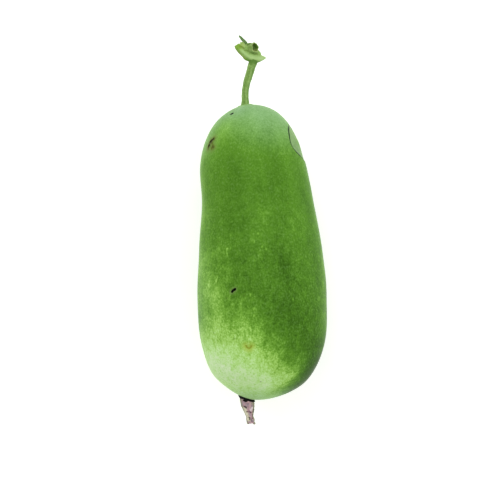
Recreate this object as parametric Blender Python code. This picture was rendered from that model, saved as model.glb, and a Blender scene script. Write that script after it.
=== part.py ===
"""A bottle gourd as picked, lying on its side.

The fruit, its stalk, the short length of vine that was cut with it, the stubs of a leaf stalk and of
a tendril on that vine, and the withered flower at the blossom end.

Metres, +Z up. +Y runs along the fruit from the blossom end to the stalk, and +X is to the right for
someone who looks down on it with the stalk at the top. The fruit rests on Z = 0 on a small flat
spot. The shapes are laid out from the fruit's blossom end, at Y = 0, and are then moved together,
so that the origin is the middle of the whole gourd's footprint.
"""

import math

import bmesh
import bpy
from mathutils import Matrix, Vector

# The clearance of about 0.3 mm that a piece keeps in its socket. The copy that cuts the socket is
# grown by a little more, because its points move out along the slanting normals of its edges.
SOCKET_GROWTH = 0.00042
WELD_DISTANCE = 0.00001

FRUIT_LENGTH = 0.260
# The left and right edge of the fruit seen from above, at equal steps of the polar angle from the
# stalk end to the blossom end.
FRUIT_EDGES = (
    (-0.0085, -0.0085),
    (-0.0300, 0.0130),
    (-0.0467, 0.0284),
    (-0.0544, 0.0388),
    (-0.0531, 0.0461),
    (-0.0553, 0.0531),
    (-0.0568, 0.0568),
    (-0.0543, 0.0555),
    (-0.0450, 0.0443),
    (-0.0245, 0.0215),
    (-0.0040, -0.0040),
)
FRUIT_WIDEST = 6
FRUIT_DEPTH_RATIO = 0.97
# The slim end lies lower than the full blossom end, as it does when the fruit finds its rest.
FRUIT_DIP = math.radians(3.5)
FRUIT_SIDES = 56
FRUIT_RINGS = 40
REST_FLAT_DEPTH = 0.0012

# A stem's stations: X, Y, height over the fruit's axis at its stalk end, and radius.
STALK_STATIONS = (
    (-0.0150, 0.2552, 0.0000, 0.0046),
    (-0.0150, 0.2588, 0.0001, 0.0041),
    (-0.0150, 0.2625, 0.0004, 0.0035),
    (-0.0150, 0.2680, 0.0010, 0.0032),
    (-0.0147, 0.2730, 0.0016, 0.0032),
    (-0.0138, 0.2780, 0.0021, 0.0033),
    (-0.0124, 0.2830, 0.0024, 0.0035),
    (-0.0109, 0.2880, 0.0025, 0.0036),
    (-0.0094, 0.2930, 0.0024, 0.0037),
    (-0.0080, 0.2972, 0.0022, 0.0039),
    (-0.0074, 0.2990, 0.0021, 0.0041),
)
VINE_STATIONS = (
    (-0.0223, 0.3123, 0.0052, 0.0027),
    (-0.0210, 0.3102, 0.0050, 0.0031),
    (-0.0188, 0.3077, 0.0045, 0.0034),
    (-0.0162, 0.3056, 0.0039, 0.0037),
    (-0.0126, 0.3031, 0.0030, 0.0039),
    (-0.0094, 0.3018, 0.0023, 0.0040),
    (-0.0054, 0.3013, 0.0014, 0.0039),
    (-0.0024, 0.3012, 0.0008, 0.0034),
    (0.0005, 0.3011, 0.0002, 0.0023),
    (0.0027, 0.3010, -0.0001, 0.0012),
    (0.0034, 0.3010, -0.0002, 0.0007),
)
LEAF_STALK_STATIONS = (
    (-0.0100, 0.3083, 0.0024, 0.0036),
    (-0.0096, 0.3085, 0.0035, 0.0041),
    (-0.0088, 0.3089, 0.0049, 0.0045),
    (-0.0076, 0.3094, 0.0062, 0.0048),
    (-0.0060, 0.3099, 0.0076, 0.0050),
)
TENDRIL_STATIONS = (
    (-0.0132, 0.3074, -0.0028, 0.0019),
    (-0.0135, 0.3096, -0.0018, 0.0018),
    (-0.0140, 0.3121, 0.0001, 0.0017),
    (-0.0147, 0.3143, 0.0019, 0.0016),
    (-0.0162, 0.3160, 0.0030, 0.0015),
    (-0.0177, 0.3175, 0.0038, 0.0014),
    (-0.0190, 0.3190, 0.0043, 0.0012),
    (-0.0199, 0.3199, 0.0046, 0.0009),
    (-0.0203, 0.3204, 0.0047, 0.0005),
)
STEM_STEPS = 2
STEM_SIDES = 20
STEM_RIBS = 5
STEM_RIB_DEPTH = 0.05
TENDRIL_SIDES = 12
TENDRIL_RIBS = 4
TENDRIL_RIB_DEPTH = 0.03

# The swelling where the leaf stalk, the tendril and the fruit's stalk leave the vine, its heel beside
# the leaf stalk, and the small bud beside the tendril: middle as in a station, half sizes, and turn
# about Z.
NODE_SWELLING = ((-0.0106, 0.3084, 0.0018), (0.0061, 0.0060, 0.0056), math.radians(-30))
SWELLING_HEEL = ((-0.0050, 0.3050, 0.0014), (0.0047, 0.0034, 0.0038), math.radians(-38))
SIDE_BUD = ((-0.0170, 0.3114, 0.0052), (0.0040, 0.0019, 0.0022), math.radians(-46))
SWELLING_SIDES = 28
SWELLING_RINGS = 18

LEAF_STALK_HOLLOW_RADIUS = 0.0033
LEAF_STALK_HOLLOW_TAPER = 0.75
LEAF_STALK_HOLLOW_DEPTH = 0.0042

# The withered flower: distance along its axis from the fruit's skin, and radius. It begins with the
# black foot in the skin, and ends by turning back inside its open mouth.
FLOWER_PROFILE = (
    (-0.0016, 0.0000),
    (-0.0016, 0.0038),
    (-0.0014, 0.0062),
    (-0.0008, 0.0071),
    (0.0002, 0.0073),
    (0.0010, 0.0070),
    (0.0015, 0.0064),
    (0.0021, 0.0063),
    (0.0040, 0.0064),
    (0.0066, 0.0060),
    (0.0090, 0.0053),
    (0.0113, 0.0045),
    (0.0137, 0.0038),
    (0.0160, 0.0034),
    (0.0183, 0.0032),
    (0.0205, 0.0033),
    (0.0219, 0.0034),
    (0.0222, 0.0029),
    (0.0212, 0.0022),
    (0.0192, 0.0018),
    (0.0172, 0.0013),
    (0.0164, 0.0000),
)
FLOWER_FOOT = (-0.0136, 0.0016)
FLOWER_LEAN = (0.12, -0.05)
FLOWER_BEND = (2.6, -3.5)
FLOWER_FOOT_SLOPE = math.tan(math.radians(19))
FLOWER_FOOT_REACH = 0.0075
FLOWER_FLATNESS = 0.86
FLOWER_FOLDS = 5
FLOWER_FOLD_DEPTH = 0.13
FLOWER_FOLD_START = 0.0010
FLOWER_FOLD_FULL = 0.0070
FLOWER_TWIST = 55.0
FLOWER_SIDES = 40

# Name, colour as 8-bit sRGB, and roughness.
FRUIT_LOOK = ("gourd_skin", (96, 143, 52), 0.42)
STALK_LOOK = ("fruit_stalk_green", (118, 152, 76), 0.55)
VINE_LOOK = ("vine_green", (138, 174, 96), 0.55)
LEAF_STALK_LOOK = ("leaf_stalk_green", (126, 156, 80), 0.55)
TENDRIL_LOOK = ("tendril_green", (92, 122, 72), 0.60)
FLOWER_LOOK = ("withered_petal", (172, 146, 148), 0.85)


def clear_scene():
    """Empties the scene."""
    for obj in list(bpy.data.objects):
        bpy.data.objects.remove(obj)


def new_collection(name):
    """A collection in the scene."""
    collection = bpy.data.collections.new(name)
    bpy.context.scene.collection.children.link(collection)
    return collection


def catmull_rom(before, start, end, after, share):
    """The point at this share of the way from start to end, on a smooth curve through all four."""
    return 0.5 * (
        2 * start
        + (end - before) * share
        + (2 * before - 5 * start + 4 * end - after) * share**2
        + (3 * start - before - 3 * end + after) * share**3
    )


def smooth_path(stations, steps):
    """Points on a smooth curve through the stations, with this many steps between two of them."""
    known = [Vector(station) for station in stations]
    known = [2 * known[0] - known[1], *known, 2 * known[-1] - known[-2]]
    points = []
    for first in range(len(known) - 3):
        near = known[first : first + 4]
        points += [catmull_rom(*near, step / steps) for step in range(steps)]
    return [*points, known[-2]]


def smooth_share(value, start, end):
    """Rises smoothly from 0 at start to 1 at end."""
    share = min(max((value - start) / (end - start), 0.0), 1.0)
    return share * share * (3 - 2 * share)


def mesh_object(name, form, collection):
    """An object from a bmesh, shaded smooth but for its sharp edges."""
    mesh = bpy.data.meshes.new(name)
    form.to_mesh(mesh)
    form.free()
    mesh.shade_smooth()
    mesh.set_sharp_from_angle(angle=math.radians(50))
    obj = bpy.data.objects.new(name, mesh)
    collection.objects.link(obj)
    return obj


def evaluated_mesh(obj):
    """The object's mesh as its modifiers or its curve settings make it."""
    graph = bpy.context.evaluated_depsgraph_get()
    return bpy.data.meshes.new_from_object(obj.evaluated_get(graph))


def hide_helper(obj):
    """Marks an object as a cutter or a guide."""
    obj.hide_render = True
    obj.display_type = "WIRE"


def sphere_angles(point):
    """Angle from the pole, and angle around from the right side upwards, of a unit sphere's point."""
    return math.acos(min(max(point.z, -1.0), 1.0)), math.atan2(-point.y, point.x)


def fruit_edge(angle):
    """X of the fruit's outline at a polar angle: 0 to pi is its right side, pi to 2 pi its left."""
    loop = [right for _, right in FRUIT_EDGES] + [left for left, _ in FRUIT_EDGES[-2:0:-1]]
    place = angle % math.tau / math.tau * len(loop)
    first = int(place)
    near = [loop[(first + step) % len(loop)] for step in (-1, 0, 1, 2)]
    return catmull_rom(*near, place - first)


def fruit_y(polar):
    """Y at a polar angle, which is 0 at the stalk end and pi at the blossom end."""
    return FRUIT_LENGTH * (1 + math.cos(polar)) / 2


def fruit_axis_height(y):
    """Height of the fruit's axis over the lowest point of its widest section."""
    left, right = FRUIT_EDGES[FRUIT_WIDEST]
    widest_y = fruit_y(math.pi * FRUIT_WIDEST / (len(FRUIT_EDGES) - 1))
    return FRUIT_DEPTH_RATIO * (right - left) / 2 - (y - widest_y) * math.tan(FRUIT_DIP)


def fruit_point(polar, around):
    """A point of the fruit's skin, at an angle around its axis from its right side upwards."""
    left, right = fruit_edge(-polar), fruit_edge(polar)
    y = fruit_y(polar)
    x = (left + right) / 2 + (right - left) / 2 * math.cos(around)
    rise = FRUIT_DEPTH_RATIO * (right - left) / 2 * math.sin(around)
    return Vector((x, y, fruit_axis_height(y) + rise))


def make_fruit(collection):
    """The fruit, a sphere drawn out to its outline, and the height of the flat spot it rests on."""
    form = bmesh.new()
    bmesh.ops.create_uvsphere(form, u_segments=FRUIT_SIDES, v_segments=FRUIT_RINGS, radius=1)
    for vertex in form.verts:
        vertex.co = fruit_point(*sphere_angles(vertex.co))
    floor = min(vertex.co.z for vertex in form.verts) + REST_FLAT_DEPTH
    cut = bmesh.ops.bisect_plane(
        form,
        geom=form.verts[:] + form.edges[:] + form.faces[:],
        plane_co=(0, 0, floor),
        plane_no=(0, 0, 1),
        clear_inner=True,
    )
    rim = [item for item in cut["geom_cut"] if isinstance(item, bmesh.types.BMEdge)]
    bmesh.ops.edgeloop_fill(form, edges=rim)
    bmesh.ops.recalc_face_normals(form, faces=form.faces[:])
    return mesh_object("gourd_fruit", form, collection), floor


def make_rib_profile(name, sides, ribs, depth, guides):
    """A closed outline of radius 1 with soft ribs, which a stem's path carries along."""
    curve = bpy.data.curves.new(name, "CURVE")
    curve.dimensions = "2D"
    spline = curve.splines.new("POLY")
    spline.points.add(sides - 1)
    for index, point in enumerate(spline.points):
        angle = math.tau * index / sides
        radius = 1 + depth * (math.cos(ribs * angle) - 1)
        point.co = (radius * math.cos(angle), radius * math.sin(angle), 0, 1)
    spline.use_cyclic_u = True
    profile = bpy.data.objects.new(name, curve)
    hide_helper(profile)
    guides.objects.link(profile)
    return profile


def make_stem(name, stations, profile, collection):
    """A stem through its stations, as a closed mesh."""
    curve = bpy.data.curves.new(name + "_path", "CURVE")
    curve.dimensions = "3D"
    curve.bevel_mode = "OBJECT"
    curve.bevel_object = profile
    curve.use_fill_caps = True
    path = smooth_path(stations, STEM_STEPS)
    spline = curve.splines.new("POLY")
    spline.points.add(len(path) - 1)
    for point, (x, y, height, radius) in zip(spline.points, path):
        point.co = (x, y, fruit_axis_height(FRUIT_LENGTH) + height, 1)
        point.radius = radius
    drawn = bpy.data.objects.new(name + "_path", curve)
    collection.objects.link(drawn)
    form = bmesh.new()
    form.from_mesh(evaluated_mesh(drawn))
    form.transform(drawn.matrix_world)
    bpy.data.objects.remove(drawn)
    bmesh.ops.remove_doubles(form, verts=form.verts[:], dist=WELD_DISTANCE)
    bmesh.ops.recalc_face_normals(form, faces=form.faces[:])
    return mesh_object(name, form, collection)


def make_swelling(name, swelling, cutters):
    """A rounded swelling, to be joined to the vine."""
    (x, y, height), half_sizes, turn = swelling
    place = Matrix.Translation((x, y, fruit_axis_height(FRUIT_LENGTH) + height))
    stretch = Matrix.Diagonal((*half_sizes, 1))
    form = bmesh.new()
    bmesh.ops.create_uvsphere(
        form,
        u_segments=SWELLING_SIDES,
        v_segments=SWELLING_RINGS,
        radius=1,
        matrix=place @ Matrix.Rotation(turn, 4, "Z") @ stretch,
    )
    obj = mesh_object(name, form, cutters)
    hide_helper(obj)
    return obj


def make_hollow(name, stations, cutters):
    """A tapered plug that hollows a stem from its last station inwards."""
    inner, end = (Vector(station[:3]) for station in stations[-2:])
    lift = Vector((0, 0, fruit_axis_height(FRUIT_LENGTH)))
    turn = (end - inner).to_track_quat("Z", "Y").to_matrix().to_4x4()
    form = bmesh.new()
    bmesh.ops.create_cone(
        form,
        cap_ends=True,
        segments=STEM_SIDES,
        radius1=LEAF_STALK_HOLLOW_RADIUS * LEAF_STALK_HOLLOW_TAPER,
        radius2=LEAF_STALK_HOLLOW_RADIUS / LEAF_STALK_HOLLOW_TAPER,
        depth=2 * LEAF_STALK_HOLLOW_DEPTH,
        matrix=Matrix.Translation(end + lift) @ turn,
    )
    obj = mesh_object(name, form, cutters)
    hide_helper(obj)
    return obj


def flower_point(along, radius, around):
    """A point of the withered flower, whose foot lies in the slope of the fruit's skin."""
    folded = smooth_share(along, FLOWER_FOLD_START, FLOWER_FOLD_FULL) * FLOWER_FOLD_DEPTH
    radius *= 1 + folded * math.cos(FLOWER_FOLDS * around + FLOWER_TWIST * along)
    across = radius * math.cos(around)
    rise = radius * math.sin(around) * FLOWER_FLATNESS
    slope = FLOWER_FOOT_SLOPE * (1 - smooth_share(along, 0, FLOWER_FOOT_REACH))
    foot_x, foot_y = FLOWER_FOOT
    lean_x, lean_z = (
        along * (lean + bend * along) for lean, bend in zip(FLOWER_LEAN, FLOWER_BEND)
    )
    return Vector(
        (
            foot_x + lean_x + across,
            foot_y - along - slope * across,
            fruit_axis_height(foot_y) + lean_z + rise,
        )
    )


def make_flower(collection):
    """The withered flower, a sphere whose rings are moved to the stations of its profile."""
    form = bmesh.new()
    last = len(FLOWER_PROFILE) - 1
    bmesh.ops.create_uvsphere(form, u_segments=FLOWER_SIDES, v_segments=last, radius=1)
    for vertex in form.verts:
        polar, around = sphere_angles(vertex.co)
        along, radius = FLOWER_PROFILE[round(polar / math.pi * last)]
        vertex.co = flower_point(along, radius, around)
    return mesh_object("withered_flower", form, collection)


def add_boolean(obj, operation, other):
    """Joins the other object to this one, or cuts it away."""
    boolean = obj.modifiers.new(operation.lower() + "_" + other.name, "BOOLEAN")
    boolean.operation = operation
    boolean.solver = "EXACT"
    boolean.object = other


def cut_socket(carrier, guest, cutters):
    """Cuts the place that the guest's root takes up in its carrier, with a clearance round it."""
    cutter = bpy.data.objects.new(guest.name + "_socket", guest.data.copy())
    cutters.objects.link(cutter)
    hide_helper(cutter)
    grow = cutter.modifiers.new("clearance", "DISPLACE")
    grow.mid_level = 0
    grow.strength = SOCKET_GROWTH
    add_boolean(carrier, "DIFFERENCE", cutter)


def give_material(obj, look):
    """Gives the object a material of its own."""
    name, srgb, roughness = look
    material = bpy.data.materials.new(name)
    material.use_nodes = True
    shader = material.node_tree.nodes["Principled BSDF"]
    linear = [((channel / 255 + 0.055) / 1.055) ** 2.4 for channel in srgb]
    shader.inputs["Base Color"].default_value = (*linear, 1)
    shader.inputs["Roughness"].default_value = roughness
    shader.inputs["Metallic"].default_value = 0
    obj.data.materials.clear()
    obj.data.materials.append(material)


def place_on_footprint(parts, cutters, floor):
    """Moves everything together, so that the footprint's middle is the origin and it rests on Z = 0."""
    corners = []
    for obj in parts.objects:
        corners += [vertex.co.copy() for vertex in evaluated_mesh(obj).vertices]
    middle = [(min(c[axis] for c in corners) + max(c[axis] for c in corners)) / 2 for axis in (0, 1)]
    holder = bpy.data.objects.new("gourd_place", None)
    holder.location = (-middle[0], -middle[1], -floor)
    for obj in [*parts.objects, *cutters.objects]:
        obj.parent = holder
    parts.objects.link(holder)


def build():
    """Makes the whole gourd."""
    clear_scene()
    parts = new_collection("bottle_gourd")
    cutters = new_collection("cutters")

    fruit, floor = make_fruit(parts)
    ribbed = make_rib_profile("stem_ribs", STEM_SIDES, STEM_RIBS, STEM_RIB_DEPTH, cutters)
    angular = make_rib_profile("tendril_ribs", TENDRIL_SIDES, TENDRIL_RIBS, TENDRIL_RIB_DEPTH, cutters)
    stalk = make_stem("fruit_stalk", STALK_STATIONS, ribbed, parts)
    vine = make_stem("vine_stub", VINE_STATIONS, ribbed, parts)
    leaf_stalk = make_stem("leaf_stalk_stub", LEAF_STALK_STATIONS, ribbed, parts)
    tendril = make_stem("tendril_stub", TENDRIL_STATIONS, angular, parts)
    flower = make_flower(parts)

    add_boolean(vine, "UNION", make_swelling("node_swelling", NODE_SWELLING, cutters))
    add_boolean(vine, "UNION", make_swelling("swelling_heel", SWELLING_HEEL, cutters))
    add_boolean(vine, "UNION", make_swelling("side_bud", SIDE_BUD, cutters))
    cut_socket(vine, stalk, cutters)
    cut_socket(vine, leaf_stalk, cutters)
    cut_socket(vine, tendril, cutters)
    cut_socket(fruit, stalk, cutters)
    cut_socket(fruit, flower, cutters)
    add_boolean(leaf_stalk, "DIFFERENCE", make_hollow("leaf_stalk_hollow", LEAF_STALK_STATIONS, cutters))

    for obj, look in (
        (fruit, FRUIT_LOOK),
        (stalk, STALK_LOOK),
        (vine, VINE_LOOK),
        (leaf_stalk, LEAF_STALK_LOOK),
        (tendril, TENDRIL_LOOK),
        (flower, FLOWER_LOOK),
    ):
        give_material(obj, look)
    place_on_footprint(parts, cutters, floor)


build()
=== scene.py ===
"""The looks of the bottle gourd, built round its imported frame.

Every piece of the gourd is modelled here in full detail and stands for the plain solid of the same
name: the fruit with its blemishes, its ribbed stalk, the stub of vine with its swelling and side bud,
the hollow stub of a leaf stalk, the stub of a tendril, and the withered flower.

Metres. The shapes are laid out from the fruit's blossom end, as in the part's own source, and are
then moved into the frame. Pixels are those of the photograph, 500 by 500, which looks straight down.
"""

import math

import bmesh
import bpy
import numpy as np
from mathutils import Matrix, Vector


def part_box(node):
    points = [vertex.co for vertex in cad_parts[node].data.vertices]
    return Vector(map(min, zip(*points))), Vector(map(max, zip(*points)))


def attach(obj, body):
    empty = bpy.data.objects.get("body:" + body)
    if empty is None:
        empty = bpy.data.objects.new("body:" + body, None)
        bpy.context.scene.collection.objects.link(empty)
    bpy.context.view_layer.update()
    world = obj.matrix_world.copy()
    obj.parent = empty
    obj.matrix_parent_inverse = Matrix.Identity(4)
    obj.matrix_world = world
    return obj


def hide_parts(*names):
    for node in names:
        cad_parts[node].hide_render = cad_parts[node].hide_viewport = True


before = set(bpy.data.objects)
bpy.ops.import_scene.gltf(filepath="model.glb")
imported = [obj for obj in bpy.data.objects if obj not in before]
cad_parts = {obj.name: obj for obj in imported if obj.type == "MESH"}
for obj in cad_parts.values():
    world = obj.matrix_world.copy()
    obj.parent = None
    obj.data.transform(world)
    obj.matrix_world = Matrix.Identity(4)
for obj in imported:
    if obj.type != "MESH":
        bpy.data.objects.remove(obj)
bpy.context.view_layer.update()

# The photograph: its size and scale, the pixel over the layout's origin, and the camera.
PHOTO_PIXELS = 500
PIXEL_SIZE = 0.00088
ORIGIN_PIXEL = (262.1, 399.5)
FOCUS_HEIGHT = 0.052
LENS_LENGTH = 200
SENSOR_WIDTH = 36
CAMERA_DISTANCE = PHOTO_PIXELS * PIXEL_SIZE * LENS_LENGTH / SENSOR_WIDTH

# The fruit's outline seen from above, and its stations, as in the part's own source.
FRUIT_LENGTH = 0.260
FRUIT_EDGES = (
    (-0.0085, -0.0085),
    (-0.0300, 0.0130),
    (-0.0467, 0.0284),
    (-0.0544, 0.0388),
    (-0.0531, 0.0461),
    (-0.0553, 0.0531),
    (-0.0568, 0.0568),
    (-0.0543, 0.0555),
    (-0.0450, 0.0443),
    (-0.0245, 0.0215),
    (-0.0040, -0.0040),
)
FRUIT_WIDEST = 6
FRUIT_DEPTH_RATIO = 0.97
FRUIT_DIP = math.radians(3.5)

STALK_STATIONS = (
    (-0.0150, 0.2552, 0.0000, 0.0046),
    (-0.0150, 0.2588, 0.0001, 0.0041),
    (-0.0150, 0.2625, 0.0004, 0.0035),
    (-0.0150, 0.2680, 0.0010, 0.0032),
    (-0.0147, 0.2730, 0.0016, 0.0032),
    (-0.0138, 0.2780, 0.0021, 0.0033),
    (-0.0124, 0.2830, 0.0024, 0.0035),
    (-0.0109, 0.2880, 0.0025, 0.0036),
    (-0.0094, 0.2930, 0.0024, 0.0037),
    (-0.0080, 0.2972, 0.0022, 0.0039),
    (-0.0074, 0.2990, 0.0021, 0.0041),
)
VINE_STATIONS = (
    (-0.0223, 0.3123, 0.0052, 0.0027),
    (-0.0210, 0.3102, 0.0050, 0.0031),
    (-0.0188, 0.3077, 0.0045, 0.0034),
    (-0.0162, 0.3056, 0.0039, 0.0037),
    (-0.0126, 0.3031, 0.0030, 0.0039),
    (-0.0094, 0.3018, 0.0023, 0.0040),
    (-0.0054, 0.3013, 0.0014, 0.0039),
    (-0.0024, 0.3012, 0.0008, 0.0034),
    (0.0005, 0.3011, 0.0002, 0.0023),
    (0.0027, 0.3010, -0.0001, 0.0012),
    (0.0034, 0.3010, -0.0002, 0.0007),
)
LEAF_STALK_STATIONS = (
    (-0.0100, 0.3083, 0.0024, 0.0036),
    (-0.0096, 0.3085, 0.0035, 0.0041),
    (-0.0088, 0.3089, 0.0049, 0.0045),
    (-0.0076, 0.3094, 0.0062, 0.0048),
    (-0.0060, 0.3099, 0.0076, 0.0050),
)
TENDRIL_STATIONS = (
    (-0.0132, 0.3074, -0.0028, 0.0019),
    (-0.0135, 0.3096, -0.0018, 0.0018),
    (-0.0140, 0.3121, 0.0001, 0.0017),
    (-0.0147, 0.3143, 0.0019, 0.0016),
    (-0.0162, 0.3160, 0.0030, 0.0015),
    (-0.0177, 0.3175, 0.0038, 0.0014),
    (-0.0190, 0.3190, 0.0043, 0.0012),
    (-0.0199, 0.3199, 0.0046, 0.0009),
    (-0.0203, 0.3204, 0.0047, 0.0005),
)
# Middle as in a station, half sizes, and turn about Z.
NODE_SWELLING = ((-0.0106, 0.3084, 0.0018), (0.0061, 0.0060, 0.0056), math.radians(-30))
SWELLING_HEEL = ((-0.0050, 0.3050, 0.0014), (0.0047, 0.0034, 0.0038), math.radians(-38))
SIDE_BUD_SCALES = (
    ((-0.0172, 0.3106, 0.0054), (0.0038, 0.0012, 0.0016), math.radians(-42)),
    ((-0.0166, 0.3117, 0.0053), (0.0041, 0.0013, 0.0017), math.radians(-50)),
    ((-0.0156, 0.3119, 0.0044), (0.0036, 0.0013, 0.0018), math.radians(-60)),
)

# The withered flower: distance along its axis from the fruit's skin, and radius.
FLOWER_PROFILE = (
    (-0.0016, 0.0000),
    (-0.0016, 0.0038),
    (-0.0014, 0.0062),
    (-0.0008, 0.0071),
    (0.0002, 0.0073),
    (0.0010, 0.0070),
    (0.0015, 0.0064),
    (0.0021, 0.0063),
    (0.0040, 0.0064),
    (0.0066, 0.0060),
    (0.0090, 0.0053),
    (0.0113, 0.0045),
    (0.0137, 0.0038),
    (0.0160, 0.0034),
    (0.0183, 0.0032),
    (0.0205, 0.0033),
    (0.0219, 0.0034),
    (0.0222, 0.0029),
    (0.0212, 0.0022),
    (0.0192, 0.0018),
    (0.0172, 0.0013),
    (0.0164, 0.0000),
)
FLOWER_FOOT = (-0.0136, 0.0016)
FLOWER_LEAN = (0.12, -0.05)
FLOWER_BEND = (2.6, -3.5)
FLOWER_FOOT_SLOPE = math.tan(math.radians(19))
FLOWER_FOOT_REACH = 0.0075
FLOWER_FLATNESS = 0.86

# How finely the pieces are built, and how finely they are searched.
SKIN_SIDES = 280
SKIN_RINGS = 250
SKIN_REFINEMENTS = (0.0022, 0.0014, 0.0009)
STEM_SIDES = 60
STEM_STEPS = 16
FLOWER_SIDES = 180
FLOWER_STEPS = 7
FUSED_VOXEL = 0.00018
FUSED_SMOOTHING = 24
NEAREST_POINTS = 24
SIGHT_STEPS = 6
MARK_MARGIN = 0.001

# Places on the skin, in pixels of the photograph.
SCRATCH_PIXELS = (
    (288.4, 122.4),
    (288.9, 129.0),
    (289.3, 134.6),
    (290.0, 139.6),
    (291.2, 143.8),
    (293.3, 147.6),
    (295.8, 150.8),
    (299.4, 154.4),
    (302.4, 157.8),
    (304.6, 160.9),
)
SLIT_PIXELS = ((232.0, 291.7), (233.3, 290.2), (235.0, 289.3))
# Each stroke of the scar, and how much it is thinned.
SCAR_STROKES = (
    (((213.8, 138.9), (212.4, 140.2)), 0.0002),
    (((211.6, 141.0), (210.6, 141.8)), -0.0003),
    (((209.4, 145.2), (208.9, 146.1)), -0.0003),
    (((212.0, 142.6), (212.4, 143.6)), 0.0010),
    (((208.6, 147.4), (208.2, 149.2)), 0.0011),
    (((212.9, 146.2), (213.5, 147.4)), 0.0007),
    (((211.6, 147.8), (211.9, 149.0)), 0.0012),
)
SPECK_PIXELS = ((231.6, 113.8), (232.1, 113.5))
SUNKEN_SPOT_PIXELS = ((245.8, 346.0), (247.2, 348.2), (249.6, 348.4), (251.2, 346.2))
# The shoulder where wax bloom and painted sheen lie.
SHOULDER_BLOOM_AND_SHEEN_PIXELS = ((206, 142), (213, 127), (222, 117), (234, 111))
# Soft strokes in which the skin is paler, or darker: the pixels, how much, and the width.
TONE_STROKES = (
    (((276, 262), (287, 300), (304, 332), (315, 352), (312, 372)), -0.14, 0.020),
    (((268, 215), (266, 240), (265, 265)), 0.07, 0.011),
    (((203, 284), (210, 305), (218, 322)), 0.20, 0.021),
    (((222, 296), (238, 311), (262, 330)), 0.09, 0.013),
    (((202, 345), (211, 368), (225, 388)), -0.10, 0.007),
    (((214, 372), (234, 374)), 0.11, 0.014),
    (((268, 330), (278, 342), (290, 352)), -0.12, 0.010),
    (((290, 374), (299, 372)), 0.12, 0.007),
    (((279, 391), (291, 386)), -0.08, 0.006),
)
FLECKED_PIXELS = (
    ((257, 240), (256, 290), (254, 330)),
    ((296, 285), (300, 332)),
    ((224, 225), (222, 262)),
    ((216, 275), (219, 330)),
)
FAINT_SPECK_PIXELS = (
    (288.1, 203.4),
    (218.2, 241.5),
    (244.1, 295.5),
    (226.8, 298.0),
    (213.9, 333.0),
    (234.5, 338.6),
    (260.8, 381.7),
)


# Shapes


def catmull_rom(before, start, end, after, share):
    """The point at this share of the way from start to end, on a smooth curve through all four."""
    return 0.5 * (
        2 * start
        + (end - before) * share
        + (2 * before - 5 * start + 4 * end - after) * share**2
        + (3 * start - before - 3 * end + after) * share**3
    )


def smooth_path(stations, steps):
    """Points on a smooth curve through the stations, with this many steps between two of them."""
    known = np.array(stations)
    known = np.vstack([2 * known[0] - known[1], known, 2 * known[-1] - known[-2]])
    shares = np.arange(steps)[:, None] / steps
    spans = [catmull_rom(*known[first : first + 4], shares) for first in range(len(known) - 3)]
    return np.vstack([*spans, known[-2]])


def smooth_share(value, start, end):
    """Rises smoothly from 0 at start to 1 at end."""
    share = np.clip((value - start) / (end - start), 0, 1)
    return share * share * (3 - 2 * share)


def between(value, start, end):
    """Rises smoothly from 0 to 1 over one reach, and falls back to 0 over another."""
    return smooth_share(value, *start) * (1 - smooth_share(value, *end))


def bell(distance, width):
    """A smooth bump of height 1, which is down to a third at this distance."""
    return np.exp(-((distance / width) ** 2))


def normalised(vectors):
    """Each vector at length 1."""
    return vectors / np.linalg.norm(vectors, axis=-1, keepdims=True)


def fruit_edge(angle):
    """X of the fruit's outline at a polar angle: 0 to pi is its right side, pi to 2 pi its left."""
    loop = [right for _, right in FRUIT_EDGES] + [left for left, _ in FRUIT_EDGES[-2:0:-1]]
    loop = np.array(loop)
    place = np.mod(angle, math.tau) / math.tau * len(loop)
    first = np.floor(place).astype(int)
    near = [loop[(first + step) % len(loop)] for step in (-1, 0, 1, 2)]
    return catmull_rom(*near, place - first)


def fruit_section(polar):
    """Middle and half width of the fruit's section at a polar angle."""
    left, right = fruit_edge(-polar), fruit_edge(polar)
    return (left + right) / 2, (right - left) / 2


def fruit_y(polar):
    """Y at a polar angle, which is 0 at the stalk end and pi at the blossom end."""
    return FRUIT_LENGTH * (1 + np.cos(polar)) / 2


def fruit_axis_height(y):
    """Height of the fruit's axis over the lowest point of its widest section."""
    left, right = FRUIT_EDGES[FRUIT_WIDEST]
    widest_y = fruit_y(math.pi * FRUIT_WIDEST / (len(FRUIT_EDGES) - 1))
    return FRUIT_DEPTH_RATIO * (right - left) / 2 - (y - widest_y) * math.tan(FRUIT_DIP)


def layout_origin():
    """Where the layout's origin lies in the frame, from the box of the frame's own fruit."""
    low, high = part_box("gourd_fruit")
    polar = np.linspace(0, math.pi, 1001)
    middle, half_width = fruit_section(polar)
    crown = fruit_axis_height(fruit_y(polar)) + FRUIT_DEPTH_RATIO * half_width
    across = ((middle - half_width).min() + (middle + half_width).max()) / 2
    return np.array(((low[0] + high[0]) / 2 - across, low[1], high[2] - crown.max()))


ORIGIN = layout_origin()
# The heights of the stems' stations count from the end of the fruit's axis.
STEM_ORIGIN = ORIGIN + (0, 0, fruit_axis_height(FRUIT_LENGTH))
CAMERA_PLACE = ORIGIN + (
    (PHOTO_PIXELS / 2 - ORIGIN_PIXEL[0]) * PIXEL_SIZE,
    (ORIGIN_PIXEL[1] - PHOTO_PIXELS / 2) * PIXEL_SIZE,
    FOCUS_HEIGHT + CAMERA_DISTANCE,
)


def fruit_crown(x, y):
    """Height of the skin on the fruit's upper side, over a place of the layout."""
    polar = np.arccos(np.clip(2 * y / FRUIT_LENGTH - 1, -1, 1))
    middle, half_width = fruit_section(polar)
    share = np.clip((x - middle) / half_width, -1, 1)
    return fruit_axis_height(y) + FRUIT_DEPTH_RATIO * half_width * np.sqrt(1 - share**2)


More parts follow.
